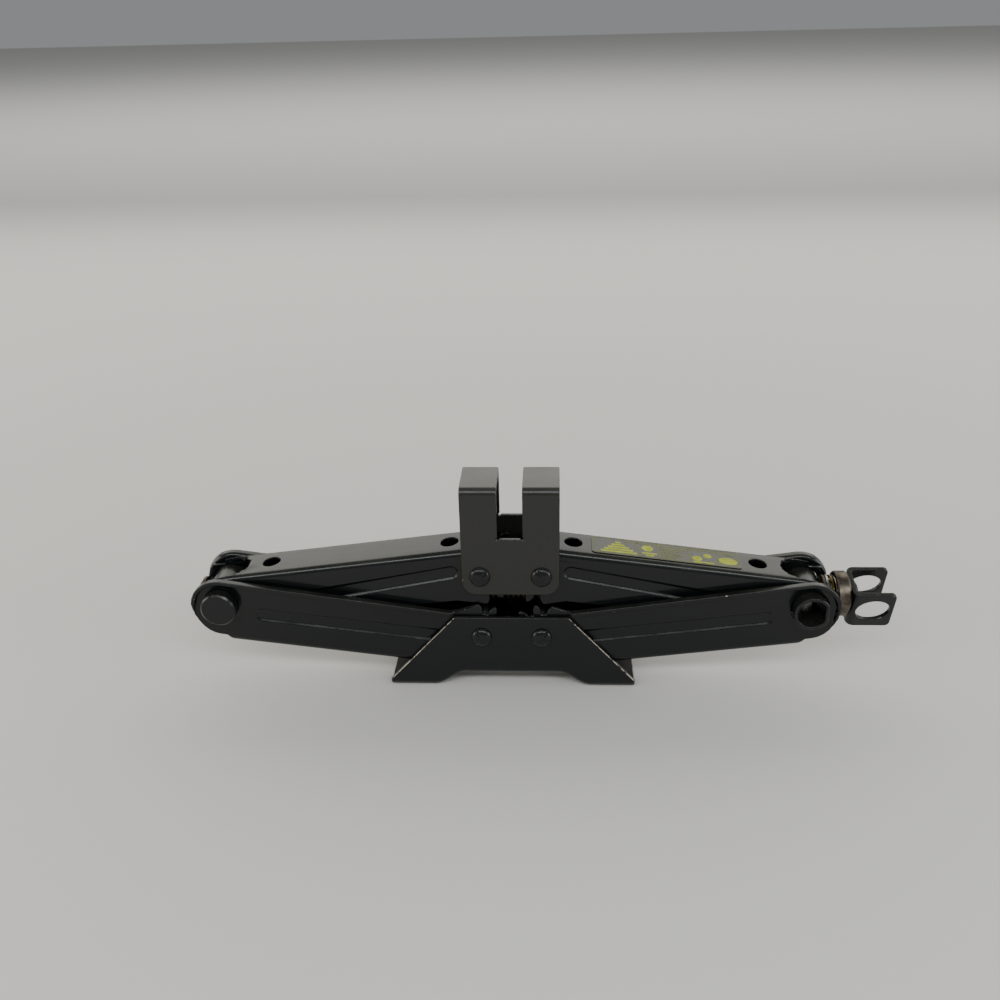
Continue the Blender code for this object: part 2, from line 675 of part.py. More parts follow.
def make_bearing_trunnion(material):
    outer = d_outline(TUBE_RADIUS, TUBE_FLAT, TUBE_CORNER)
    inner = d_outline(TUBE_RADIUS - TUBE_WALL, TUBE_FLAT - TUBE_WALL, TUBE_CORNER - TUBE_WALL / 2)
    tube = prism(outer, "Y", -TRUNNION_HALF, TRUNNION_HALF)
    found = add("bearing_trunnion", tube, material, at(OUTER_X, SCREW_HEIGHT), JACK)
    shape(found, "DIFFERENCE", "hollow", prism(inner, "Y", -2 * TRUNNION_HALF, 2 * TRUNNION_HALF))
    shape(found, "DIFFERENCE", "screw_hole", screw_bore(2 * TUBE_RADIUS))


# ---------------------------------------------------------------- screw and thrust bearing
def ring(name, material, start, thickness, inner, outer, bevel=0.0, centre=None):
    """A washer about the screw's axis. Its start counts along X from the given centre."""
    centre = OUTER_X if centre is None else centre
    end = start + thickness
    profile = [(start, inner), (start, outer - bevel), (start + bevel, outer)]
    profile += [(end - bevel, outer), (end, outer - bevel), (end, inner)]
    return add(name, turned(profile, "X"), material, at(centre, SCREW_HEIGHT), JACK)


def make_screw(material):
    """One turned piece: stop neck and riveted tip at the left, yoke seat and riveted head at the right."""
    span = 2 * OUTER_X
    neck = STOP_START - CLEARANCE
    head = YOKE_START + YOKE_SHEET + CLEARANCE
    profile = [
        (-span - SCREW_END, 0),
        (-span - SCREW_END, SCREW_TIP_RADIUS - SCREW_CHAMFER),
        (-span - SCREW_END + SCREW_CHAMFER, SCREW_TIP_RADIUS),
        (-span - NECK_END, SCREW_TIP_RADIUS),
        (-span - NECK_END, SCREW_NECK_RADIUS),
        (-span - neck, SCREW_NECK_RADIUS),
        (-span - neck + SCREW_CHAMFER, SCREW_RADIUS),
        (YOKE_START - CLEARANCE, SCREW_RADIUS),
        (YOKE_START - CLEARANCE, SCREW_NECK_RADIUS),
        (head, SCREW_NECK_RADIUS),
        (head, SCREW_HEAD_RADIUS),
        (head + SCREW_HEAD_LENGTH / 2, SCREW_HEAD_RADIUS),
        (head + SCREW_HEAD_LENGTH, SCREW_HEAD_RADIUS / 2),
        (head + SCREW_HEAD_LENGTH, 0),
    ]
    add("lift_screw", turned(profile, "X"), material, at(OUTER_X, SCREW_HEIGHT), JACK)


def make_cup(material):
    skirt = CUP_RADIUS - CUP_SKIRT
    end = CUP_FLOOR + CUP_BASE
    profile = [
        (CUP_FLOOR, SCREW_BORE),
        (CUP_FLOOR, skirt),
        (CUP_LIP, skirt),
        (CUP_LIP, CUP_RADIUS - CUP_CHAMFER),
        (CUP_LIP + CUP_CHAMFER, CUP_RADIUS),
        (end - 2 * CUP_CHAMFER, CUP_RADIUS),
        (end, CUP_RADIUS - 2 * CUP_CHAMFER),
        (end, SCREW_BORE),
    ]
    add("thrust_cup", turned(profile, "X", FINE), material, at(OUTER_X, SCREW_HEIGHT), JACK)


def make_bearing(washer, steel, brass):
    ring("seat_washer", washer, SEAT_START, SEAT_THICKNESS, SCREW_BORE, RACE_RADIUS, SEAT_CHAMFER)
    ring("thrust_race_inner", steel, FIRST_RACE, RACE_THICKNESS, SCREW_BORE, RACE_RADIUS, RACE_CHAMFER)
    ring("thrust_race_outer", steel, SECOND_RACE, RACE_THICKNESS, SCREW_BORE, RACE_RADIUS, RACE_CHAMFER)
    middle = BALLS_START + BALL_RADIUS
    cage = ring("ball_cage", brass, middle - CAGE_THICKNESS / 2, CAGE_THICKNESS, SCREW_BORE, RACE_RADIUS)
    pockets = []
    for i in range(BALL_COUNT):
        turn = 2 * math.pi * i / BALL_COUNT
        across, up = BALL_CIRCLE * math.cos(turn), BALL_CIRCLE * math.sin(turn)
        circle = arc((across, up), BALL_RADIUS + CLEARANCE, 0, 330, 11)
        pockets.append(prism(circle, "X", middle - CAGE_THICKNESS, middle + CAGE_THICKNESS))
        ball = bmesh.new()
        bmesh.ops.create_icosphere(ball, subdivisions=2, radius=BALL_RADIUS)
        place = Matrix.Translation((middle, across, up))
        add(f"thrust_ball_{i + 1:02d}", ball, steel, place, cage)
    shape(cage, "DIFFERENCE", "pockets", joined(*pockets))


# ---------------------------------------------------------------- handle yoke
def make_yoke(material):
    """A bent bracket: the base lies across the screw, and two ears with eyes reach out along +X."""
    half = YOKE_GAP / 2 + YOKE_SHEET
    section = channel(half, YOKE_SHEET, YOKE_BEND, YOKE_START, YOKE_END)
    low, high = -YOKE_HEIGHT / 2 - YOKE_DROP, YOKE_HEIGHT / 2 - YOKE_DROP
    bracket = prism([(along, across) for across, along in section], "Z", low, high)
    turn = Matrix.Rotation(YOKE_TURN, 4, "X")
    found = add("handle_yoke", bracket, material, at(OUTER_X, SCREW_HEIGHT) @ turn, JACK)
    side_view = rounded(
        [
            (YOKE_START - YOKE_BEND, low, 0),
            (YOKE_END, low, YOKE_CORNER),
            (YOKE_END, high, YOKE_CORNER),
            (YOKE_START - YOKE_BEND, high, 0),
        ]
    )
    shape(found, "INTERSECT", "side_view", prism(side_view, "Y", -2 * half, 2 * half))
    middle = YOKE_END - EYE_END - EYE_LENGTH / 2
    eye = []
    for i in range(ROUND):
        angle = 2 * math.pi * i / ROUND
        spoke = Vector((EYE_LENGTH / 2 * math.cos(angle), EYE_HEIGHT / 2 * math.sin(angle)))
        spoke.rotate(Matrix.Rotation(EYE_TILT, 2))
        eye.append((middle + spoke.x, spoke.y - YOKE_DROP))
    shape(found, "DIFFERENCE", "eyes", prism(eye, "Y", -2 * half, 2 * half))
    reach = YOKE_START - YOKE_SHEET, YOKE_START + 2 * YOKE_SHEET
    hole = turned([(reach[0], 0), (reach[0], NECK_BORE), (reach[1], NECK_BORE), (reach[1], 0)], "X")
    shape(found, "DIFFERENCE", "screw_hole", hole)


# ---------------------------------------------------------------- label
def make_label(material, owner):
    """A thin plate on the upper arm's web, midway between the web holes. The outer pivot is at 0."""
    middle = (WEB_HOLE_INNER - WEB_HOLE_OUTER - ARM_LENGTH) / 2
    corners = [
        (middle + x * LABEL_LENGTH / 2, y * LABEL_WIDTH / 2, LABEL_CORNER)
        for x, y in ((-1, -1), (1, -1), (1, 1), (-1, 1))
    ]
    top = -UPPER_WEB - CLEARANCE
    plate = prism(rounded(corners, steps=3), "Z", top - LABEL_THICKNESS, top)
    add("instruction_label", plate, material, parent=owner)


# ---------------------------------------------------------------- the whole jack
for old in list(bpy.data.objects):
    bpy.data.objects.remove(old)

JACK = bpy.data.objects.new("jack", None)
JACK.location.x = BASE_X
bpy.context.scene.collection.objects.link(JACK)

black = paint("black_paint", (0.012, 0.013, 0.013), 0.30)
saddle_black = paint("saddle_paint", (0.030, 0.031, 0.029), 0.38)
rivet_black = paint("rivet_paint", (0.015, 0.016, 0.016), 0.35)
bare_steel = paint("bare_steel", (0.21, 0.19, 0.17), 0.45, 1.0)
ground_steel = paint("ground_steel", (0.50, 0.50, 0.50), 0.25, 1.0)
greased_screw = paint("greased_screw", (0.16, 0.15, 0.14), 0.40, 1.0)
cage_brass = paint("cage_brass", (0.60, 0.44, 0.18), 0.40, 1.0)
label_film = paint("label_film", (0.035, 0.040, 0.020), 0.45)

make_base(black)
make_saddle(saddle_black)
make_rivets(rivet_black)

# A tooth of the left arm meets a gap of the right one, so the two differ by half a tooth pitch
left_tooth = math.radians(95) + REST_ANGLE
right_tooth = left_tooth + TOOTH_PITCH / 2
run, rise = math.cos(REST_ANGLE), math.sin(REST_ANGLE)
nut_side, tube_side = NUT_JOURNAL_RADIUS, TUBE_RADIUS
frame = arm_frame(-HALF_SPACING, BASE_PIVOT_HEIGHT, (-run, rise), (rise, run))
arm("lower_arm_left", black, LOWER, left_tooth, nut_side, 0.0, frame)
frame = arm_frame(HALF_SPACING, BASE_PIVOT_HEIGHT, (run, rise), (-rise, run))
arm("lower_arm_right", black, LOWER, right_tooth, tube_side, 0.0, frame)
frame = arm_frame(-OUTER_X, SCREW_HEIGHT, (-run, -rise), (rise, -run))
arm("upper_arm_left", black, UPPER, right_tooth - TOOTH_PITCH, nut_side, ARM_LENGTH, frame)
frame = arm_frame(OUTER_X, SCREW_HEIGHT, (run, -rise), (-rise, -run))
right_upper = arm("upper_arm_right", black, UPPER, left_tooth, tube_side, ARM_LENGTH, frame)

make_nut_trunnion(black)
make_bearing_trunnion(black)
make_screw(greased_screw)
ring(
    "stop_washer",
    bare_steel,
    -STOP_START - STOP_THICKNESS,
    STOP_THICKNESS,
    NECK_BORE,
    STOP_RADIUS,
    SEAT_CHAMFER,
    centre=-OUTER_X,
)
make_bearing(bare_steel, ground_steel, cage_brass)
make_cup(bare_steel)
make_yoke(black)
make_label(label_film, right_upper)
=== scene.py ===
"""Looks of a folding scissor jack: stoved enamel on pressed steel, a rolled screw and turned thrust parts.

X runs along the screw, Y across the jack and Z is up. The places of the pieces come from the frame.
"""

import json
import math
import random

import bmesh
import bpy
from mathutils import Matrix, Vector
from mathutils.bvhtree import BVHTree


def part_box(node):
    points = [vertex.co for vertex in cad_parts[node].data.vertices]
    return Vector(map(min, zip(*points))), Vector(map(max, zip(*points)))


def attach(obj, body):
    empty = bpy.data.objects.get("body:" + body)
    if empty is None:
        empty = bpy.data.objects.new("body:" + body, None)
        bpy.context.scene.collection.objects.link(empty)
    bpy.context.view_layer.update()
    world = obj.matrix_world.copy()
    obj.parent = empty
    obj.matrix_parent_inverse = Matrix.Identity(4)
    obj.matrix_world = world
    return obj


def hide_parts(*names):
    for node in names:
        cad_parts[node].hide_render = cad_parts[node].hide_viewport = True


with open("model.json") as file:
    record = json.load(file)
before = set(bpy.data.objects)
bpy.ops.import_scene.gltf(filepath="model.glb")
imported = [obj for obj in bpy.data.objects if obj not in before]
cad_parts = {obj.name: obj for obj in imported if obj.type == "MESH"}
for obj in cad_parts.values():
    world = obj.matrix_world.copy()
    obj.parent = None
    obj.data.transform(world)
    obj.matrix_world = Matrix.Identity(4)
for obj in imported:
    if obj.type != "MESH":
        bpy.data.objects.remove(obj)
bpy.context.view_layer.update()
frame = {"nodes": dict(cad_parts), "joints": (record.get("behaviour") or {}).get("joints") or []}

bl_info = {
    "name": "Scissor jack finishes",
    "version": (1, 0, 0),
    "blender": (4, 5, 0),
    "location": "3D View > Sidebar > Jack",
    "description": "Builds the finished surfaces of a folding scissor jack",
    "category": "Object",
}

NOISE = "ShaderNodeTexNoise"
RANGE = "ShaderNodeMapRange"  # value, from low, from high, to low, to high; clamped
MIX = "ShaderNodeMix"  # of colours: share 0, colours 6 and 7, output 2
MATHS = "ShaderNodeMath"
SPLIT = "ShaderNodeSeparateXYZ"
BUMP = "ShaderNodeBump"

MM = 0.001
NOTCH_REACH = 21 * MM  # how far in from the outer pivot the notch's edge reaches
NOTCH_HEIGHT = 12 * MM  # the web lies farther than this from the arm's middle line
NOTCH_HALF_WIDTH = 10.5 * MM  # inside the web's bends
NECK_RADIUS = 4.4 * MM  # the screw where a washer or the yoke is riveted on
CREST_RADIUS = 6.0 * MM  # over the thread
HEAD_RADIUS = 7.2 * MM  # the screw's riveted head
YOKE_SHEET = 2.8 * MM
NECK_GAP = 0.3 * MM
RUN_OUT = 5 * MM  # length over which the thread fades at each end
ROWS_PER_TURN = 9
SHEARED_DEGREES = 56  # a corner sharper than this is a sheared edge
PRESSED_DEGREES = 36  # between the two it is a rim left by the press
LEVEL_SHARE = 0.1  # a face whose normal has less than this along X belongs to a level edge


# ---------------------------------------------------------------- places taken from the frame
def pivot(joint):
    """A joint's point at rest."""
    return Vector(next(j["pos_m"] for j in frame["joints"] if j["name"] == joint))


def middle(part):
    """The middle of a CAD node's box at rest."""
    low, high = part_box(part)
    return (low + high) / 2


SCREW_AXIS = pivot("screw_spin")
NUT_PIVOT = pivot("nut_level")
SADDLE_LEFT = pivot("saddle_level")
SADDLE_RIGHT = middle("saddle_rivet_right")
JACK_MIDDLE = middle("base")


# ---------------------------------------------------------------- small helpers
def linear(code):
    """An sRGB hex colour as linear red, green, blue and alpha."""
    shares = [int(code[i:i + 2], 16) / 255 for i in (1, 3, 5)]
    return [s / 12.92 if s <= 0.04045 else ((s + 0.055) / 1.055) ** 2.4 for s in shares] + [1.0]


def wire(tree, target, inputs):
    """Gives a node its inputs: a dict by name or place, or a plain list in order.

    Each is a value, a socket to link from, or a node, which stands for its first output.
    """
    for key, value in inputs.items() if isinstance(inputs, dict) else enumerate(inputs):
        if isinstance(value, bpy.types.Node):
            value = value.outputs[0]
        if isinstance(value, bpy.types.NodeSocket):
            tree.links.new(value, target.inputs[key])
        else:
            target.inputs[key].default_value = value


def node(tree, kind, inputs=(), **settings):
    """Adds a node with its settings and links."""
    made = tree.nodes.new(kind)
    for name, value in settings.items():
        setattr(made, name, value)
    wire(tree, made, inputs)
    return made


def shelled(name, verts, faces):
    """A mesh object from plain lists, faces turned outwards, shaded smooth."""
    mesh = bpy.data.meshes.new(name)
    mesh.from_pydata(verts, [], faces)
    work = bmesh.new()
    work.from_mesh(mesh)
    bmesh.ops.remove_doubles(work, verts=work.verts, dist=1e-7)
    bmesh.ops.recalc_face_normals(work, faces=work.faces)
    work.to_mesh(mesh)
    work.free()
    made = bpy.data.objects.new(name, mesh)
    bpy.context.scene.collection.objects.link(made)
    smooth(mesh)
    return made


def smooth(mesh, degrees=35):
    mesh.shade_smooth()
    mesh.set_sharp_from_angle(angle=math.radians(degrees))


def settle(made):
    """Applies an object's modifiers by reading the evaluated mesh back, and returns the object."""
    depsgraph = bpy.context.evaluated_depsgraph_get()
    final = bpy.data.meshes.new_from_object(made.evaluated_get(depsgraph), depsgraph=depsgraph)
    final.name = made.name
    made.modifiers.clear()
    made.data = final
    return made


def finish_piece(piece, body, slot, *replaced):
    """Rides a finished piece on its body and hides the nodes it stands for. The slot is not used."""
    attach(piece, body)
    if replaced:
        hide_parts(*replaced)
    return piece


# ---------------------------------------------------------------- materials
def surface(name, *sizes):
    """A new material, its tree and shader, the object coordinates, and one noise for each size.

    A size is the width of the noise's cells in millimetres, its detail and its roughness.
    """
    found = bpy.data.materials.new(name)
    found.use_nodes = True
    tree = found.node_tree
    place = node(tree, "ShaderNodeTexCoord").outputs["Object"]
    noises = []
    for width, detail, roughness in sizes:
        scale = 1 / (width * MM)
        inputs = {"Vector": place, "Scale": scale, "Detail": detail, "Roughness": roughness}
        noises.append(node(tree, NOISE, inputs))
    return found, tree, tree.nodes["Principled BSDF"], place, *noises


def from_axis(tree, place):
    """Distance along the screw from its joint, and distance out from its axis."""
    home = node(tree, "ShaderNodeMapping", {"Vector": place, "Location": -SCREW_AXIS})
    split = node(tree, SPLIT, [home]).outputs
    squares = [node(tree, MATHS, [split[axis], 2.0], operation="POWER") for axis in "YZ"]
    return split["X"], node(tree, MATHS, [node(tree, MATHS, squares, operation="ADD")], operation="SQRT")


def stoved_enamel(name, colour, gloss, rubbed, ior=1.42):
    """Stoved enamel over pressed steel, dipped and baked.

    It lies thick, so the eye gets a deep dark gloss with a faint orange peel over slightly wavy sheet. Dust
    dulls what faces up. What faces up within 7 mm of the floor is painted darker, a painted shade over the
    feet, and dulled as grit dulls it. Where the enamel is rubbed or chipped the brown-grey steel shows
    through.
    """
    found, tree, shader, place, wave, peel, dust, specks, chips = surface(
        name, (16, 2.0, 0.5), (1.6, 2.0, 0.5), (22, 5.0, 0.65), (1.1, 4.0, 0.7), (3.2, 5.0, 0.6)
    )
    normal = node(tree, "ShaderNodeNewGeometry").outputs["Normal"]
    upward = node(tree, RANGE, [node(tree, SPLIT, [normal]).outputs["Z"], 0.25, 0.95])
    film = node(tree, MATHS, [upward, node(tree, RANGE, [dust, 0.30, 0.70, 0.25, 1.0])], operation="MULTIPLY")
    fleck = node(tree, RANGE, [specks, 0.35, 0.65, 0.04, 0.12])
    film = node(tree, MATHS, [film, fleck], operation="MULTIPLY")
    dusty = node(tree, MIX, {0: film, 6: colour, 7: linear("#8C8B78")}, data_type="RGBA").outputs[2]
    # Painted shade: upward faces below 7 mm, fully below 2.5 mm, are mixed towards near black; the same share
    # dulls them as grit.
    height = node(tree, SPLIT, [place]).outputs["Z"]
    low_shade_and_grit = node(tree, RANGE, [height, 7 * MM, 2.5 * MM])
    low_shade_and_grit = node(tree, MATHS, [upward, low_shade_and_grit], operation="MULTIPLY")
    painted = node(tree, MIX, {0: low_shade_and_grit, 6: dusty, 7: linear("#1A1815")}, data_type="RGBA").outputs[2]
    # On the base's slanted edges this bare pale steel covers most of the edge as a painted highlight for the
    # bright line there; elsewhere it is real chipping.
    bare = node(tree, RANGE, [chips, 0.76 - 0.24 * rubbed, 0.78 - 0.20 * rubbed])
    tones = {0: specks, 6: linear("#7D746A"), 7: linear("#B5AEA2")}
    steel = node(tree, MIX, tones, data_type="RGBA").outputs[2]
    dulled = node(tree, RANGE, [dust, 0.30, 0.72, gloss - 0.05, gloss + 0.11])
    worn = node(tree, MATHS, [bare, 0.16, dulled], operation="MULTIPLY_ADD")
    lower = node(tree, MATHS, [1.0, bare], operation="SUBTRACT")
    bump = node(tree, BUMP, {"Height": wave, "Distance": 0.10 * MM})
    bump = node(tree, BUMP, {"Height": peel, "Distance": 0.010 * MM, "Normal": bump})
    bump = node(tree, BUMP, {"Height": lower, "Distance": 0.05 * MM, "Normal": bump})
    wire(tree, shader, {
        "Base Color": node(tree, MIX, {0: bare, 6: painted, 7: steel}, data_type="RGBA").outputs[2],
        "Metallic": bare,
        "Roughness": node(tree, MATHS, [low_shade_and_grit, 0.5, worn], operation="MULTIPLY_ADD"),
        "IOR": ior,
        "Normal": bump,
    })
    return found


def turned_steel(name, dark, light, roughness, pitch):
    """Mild steel turned on a lathe and left bare: fine rings round the screw's axis, and a brown bloom.

    The rings are drawn coarser than a lathe leaves them, so that they show.
    """
    found, tree, shader, place, bloom, smear = surface(name, (7, 6.0, 0.65), (1.2, 3.0, 0.5))
    travel = node(tree, MATHS, from_axis(tree, place), operation="ADD")
    turns = node(tree, MATHS, [travel, math.tau / pitch], operation="MULTIPLY")
    rings = node(tree, MATHS, [turns], operation="SINE")
    brown = node(tree, RANGE, [bloom, 0.35, 0.66])
    bump = node(tree, BUMP, {"Height": rings, "Distance": 0.006 * MM})
    tones = {0: brown, 6: linear(light), 7: linear(dark)}
    wire(tree, shader, {
        "Base Color": node(tree, MIX, tones, data_type="RGBA").outputs[2],
        "Metallic": 1.0,
        "Roughness": node(tree, RANGE, [bloom, 0.3, 0.7, roughness - 0.08, roughness + 0.14]),
        "Normal": node(tree, BUMP, {"Height": smear, "Distance": 0.010 * MM, "Normal": bump}),
    })
    return found


def ground_steel():
    """Hardened bearing steel, ground bright: even and sharp in its reflections, a pale grey darkened a little
    as painted shade for its place behind the arms' ends, with a film of oil.
    """
    found, tree, shader, place, film = surface("ground_bearing_steel", (3, 3.0, 0.5))
    # Painted shade: both greys are a little darker than clean ground steel.
    tones = {0: film, 6: linear("#6F6E69"), 7: linear("#A5A49F")}
    wire(tree, shader, {
        "Base Color": node(tree, MIX, tones, data_type="RGBA").outputs[2],
        "Metallic": 1.0,
        "Roughness": node(tree, RANGE, [film, 0.3, 0.7, 0.14, 0.26]),
        "Normal": node(tree, BUMP, {"Height": film, "Distance": 0.004 * MM}),
    })
    return found


def stamped_brass():
    """Cartridge brass strip, stamped: softly dull, its warm yellow darkened to brown as painted shade for its
    place behind the arms' ends.
    """
    found, tree, shader, place, tone = surface("stamped_brass", (4, 4.0, 0.5))
    # Painted shade: both tones are darker than clean brass.
    tones = {0: tone, 6: linear("#43351B"), 7: linear("#6F5A33")}
    wire(tree, shader, {
        "Base Color": node(tree, MIX, tones, data_type="RGBA").outputs[2],
        "Metallic": 1.0,
        "Roughness": node(tree, RANGE, [tone, 0.3, 0.7, 0.30, 0.45]),
    })
    return found


def greased_thread(crest, root):
    """Rolled steel thread under old grease, kept dark: near-black steel crests where the grease is rubbed
    off, and dark wet grease down in the roots.
    """
    found, tree, shader, place, smear, patch = surface(
        "greased_rolled_thread", (2.4, 4.0, 0.6), (19, 2.0, 0.5)
    )
    height = node(tree, RANGE, [from_axis(tree, place)[1], root, crest])
    bared = node(tree, MATHS, [smear, 0.7, height], operation="MULTIPLY_ADD")
    grease = node(tree, RANGE, [bared, 0.95, 1.30, 1.0, 0.0])
    thin = node(tree, RANGE, [patch, 0.3, 0.6, 0.88, 1.0])
    grease = node(tree, MATHS, [grease, thin], operation="MULTIPLY")
    tones = {0: smear, 6: linear("#2A2722"), 7: linear("#4C4740")}
    steel = node(tree, MIX, tones, data_type="RGBA").outputs[2]
    tones = {0: grease, 6: steel, 7: linear("#1B1713")}
    wire(tree, shader, {
        "Base Color": node(tree, MIX, tones, data_type="RGBA").outputs[2],
        "Metallic": node(tree, MATHS, [1.0, grease], operation="SUBTRACT"),
        "Roughness": node(tree, RANGE, [grease, 0.0, 1.0, 0.38, 0.24]),
        "Normal": node(tree, BUMP, {"Height": smear, "Distance": 0.05 * MM}),
    })
    return found


def printed_film(name, colour, fleck, roughness, metal=0.0):
    """Polyester label film, or metallic ink on it whose glints keep the ink's colour. Both are scuffed."""
    found, tree, shader, place, scuff, fine = surface(name, (5, 6.0, 0.7), (0.7, 2.0, 0.5))
    share = [node(tree, RANGE, [scuff, 0.40, 0.70]), node(tree, RANGE, [fine, 0.35, 0.65])]
    share = node(tree, MATHS, share, operation="MULTIPLY")
    tones = {0: share, 6: colour, 7: linear(fleck)}
    wire(tree, shader, {
        "Base Color": node(tree, MIX, tones, data_type="RGBA").outputs[2],
        "Metallic": metal,
        "Roughness": node(tree, RANGE, [scuff, 0.3, 0.7, roughness - 0.06, roughness + 0.12]),
        "Normal": node(tree, BUMP, {"Height": fine, "Distance": 0.006 * MM}),
    })
    return found


def painted_board(colour):
    """Matt painted board: pale and even, with a barely visible roller stipple."""
    found, tree, shader, place, stipple = surface("matt_painted_board", (2, 2.0, 0.5))
    bump = node(tree, BUMP, {"Height": stipple, "Distance": 0.05 * MM})
    wire(tree, shader, {"Base Color": colour, "Roughness": 0.75, "Normal": bump})
    return found


# ---------------------------------------------------------------- pressed and turned pieces from the frame
def broken_edges(source, name, materials, width, segments=3, ragged=None, rim=0.0):
    """A merged copy of a CAD node with its sheared edges broken by a small round.

    The faces of that round take the second material, so that paint can be rubbed thin there; on the base that
    material is bare pale steel as a painted highlight. The shallower rims that a press leaves take a softer
    round and keep the first material.
    """
    work = bmesh.new()
    work.from_mesh(frame["nodes"][source].data)
    bmesh.ops.remove_doubles(work, verts=work.verts, dist=2e-6)
    bmesh.ops.dissolve_limit(work, angle_limit=math.radians(0.6), verts=work.verts, edges=work.edges)
    if ragged:
        ragged(work)
    work.verts.index_update()
    verts = [vert.co.copy() for vert in work.verts]
    faces = [[vert.index for vert in face.verts] for face in work.faces]
    work.free()
    made = shelled(name, verts, faces)
    for material in materials:
        made.data.materials.append(material)
    skin = BVHTree.FromPolygons(verts, faces)
    rounds = (
        ("broken_edge", width, segments, SHEARED_DEGREES, 1),
        ("pressed_rim", rim, 2, PRESSED_DEGREES, -1),
    )
    for title, size, steps, degrees, material in rounds:
        if size:
            bevel = made.modifiers.new(title, "BEVEL")
            bevel.width = size
            bevel.segments = steps
            bevel.limit_method = "ANGLE"
            bevel.angle_limit = math.radians(degrees)
            bevel.use_clamp_overlap = False
            bevel.material = material
    settle(made)
    low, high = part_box(source)
    for vert in made.data.vertices:
        # A round that runs off a crowded corner goes back to the sheet, and nothing leaves the node's box.
        nearest, _, _, distance = skin.find_nearest(vert.co)
        if distance > 0.5 * width:
            vert.co = nearest
        vert.co = [min(max(value, least), most) for value, least, most in zip(vert.co, low, high)]
    made.data.set_sharp_from_angle(angle=math.radians(40))
    even = made.modifiers.new("even_shading", "WEIGHTED_NORMAL")
    even.keep_sharp = True
    return settle(made)


# ---------------------------------------------------------------- settings
class JackEnamel(bpy.types.PropertyGroup):
    colour: bpy.props.FloatVectorProperty(
        name="Enamel", description="Colour of the enamel on arms, base and yoke",
        subtype="COLOR", size=4, default=linear("#0C0F10"),
    )
    saddle_colour: bpy.props.FloatVectorProperty(
        name="Saddle enamel", description="Colour of the saddle's thinner, greyer coat",
        subtype="COLOR", size=4, default=linear("#1E1E1B"),
    )
    gloss: bpy.props.FloatProperty(
        name="Roughness", description="Roughness of clean enamel", default=0.17, min=0.08, max=0.8
    )
    rubbed: bpy.props.FloatProperty(
        name="Rubbed edges", description="Share of steel showing on edges", default=0.40, min=0.0, max=1.0
    )
    # Bare pale steel along most of the base's slanted edges: a painted highlight for the bright line that
    # light draws there.
    base_edge_highlight: bpy.props.FloatProperty(
        name="Base edge highlight", description="The same on the base's slanted edge", default=1.5, min=0.0, max=2.0
    )
    edge: bpy.props.FloatProperty(
        name="Broken edge", description="Round on sheared edges", default=0.55 * MM, unit="LENGTH"
    )
    rim: bpy.props.FloatProperty(
        name="Pressed rim", description="Round on the beads' rims", default=0.45 * MM, unit="LENGTH"
    )


class JackRivets(bpy.types.PropertyGroup):
    marks: bpy.props.IntProperty(
        name="Upset marks", description="Dents that the riveting tool leaves on each head", default=3, min=0
    )
    dent: bpy.props.FloatProperty(
        name="Dent depth", description="Depth of each mark", default=0.45 * MM, unit="LENGTH"
    )
    collar: bpy.props.FloatProperty(
        name="Head radius", description="Radius of the formed head", default=5.9 * MM, unit="LENGTH"
    )


class JackScrew(bpy.types.PropertyGroup):
    pitch: bpy.props.FloatProperty(
        name="Pitch", description="Advance of the thread in one turn", default=3.0 * MM, unit="LENGTH"
    )
    depth: bpy.props.FloatProperty(
        name="Depth", description="Crest to root", default=1.3 * MM, unit="LENGTH"
    )
    around: bpy.props.IntProperty(
        name="Facets", description="Points round the thread", default=24, min=8
    )


class JackLabel(bpy.types.PropertyGroup):
    ground: bpy.props.FloatVectorProperty(
        name="Ground", description="Colour of the film",
        subtype="COLOR", size=4, default=linear("#1A1C0E"),
    )
    ink: bpy.props.FloatVectorProperty(
        name="Ink", description="Colour of the bold marks",
        subtype="COLOR", size=4, default=linear("#8C9414"),
    )
    faint: bpy.props.FloatVectorProperty(
        name="Faint ink", description="Colour of thin marks",
        subtype="COLOR", size=4, default=linear("#5C611C"),
    )


class JackStage(bpy.types.PropertyGroup):
    floor: bpy.props.FloatVectorProperty(
        name="Floor", description="Colour of the floor",
        subtype="COLOR", size=4, default=linear("#CFCDC8"),
    )
    key: bpy.props.FloatProperty(
        name="Key light", description="Power of the wide softbox behind the jack", default=20.0, unit="POWER"
    )
    room: bpy.props.FloatProperty(
        name="Room light", description="Strength of the light from all round", default=0.30, min=0.0
    )


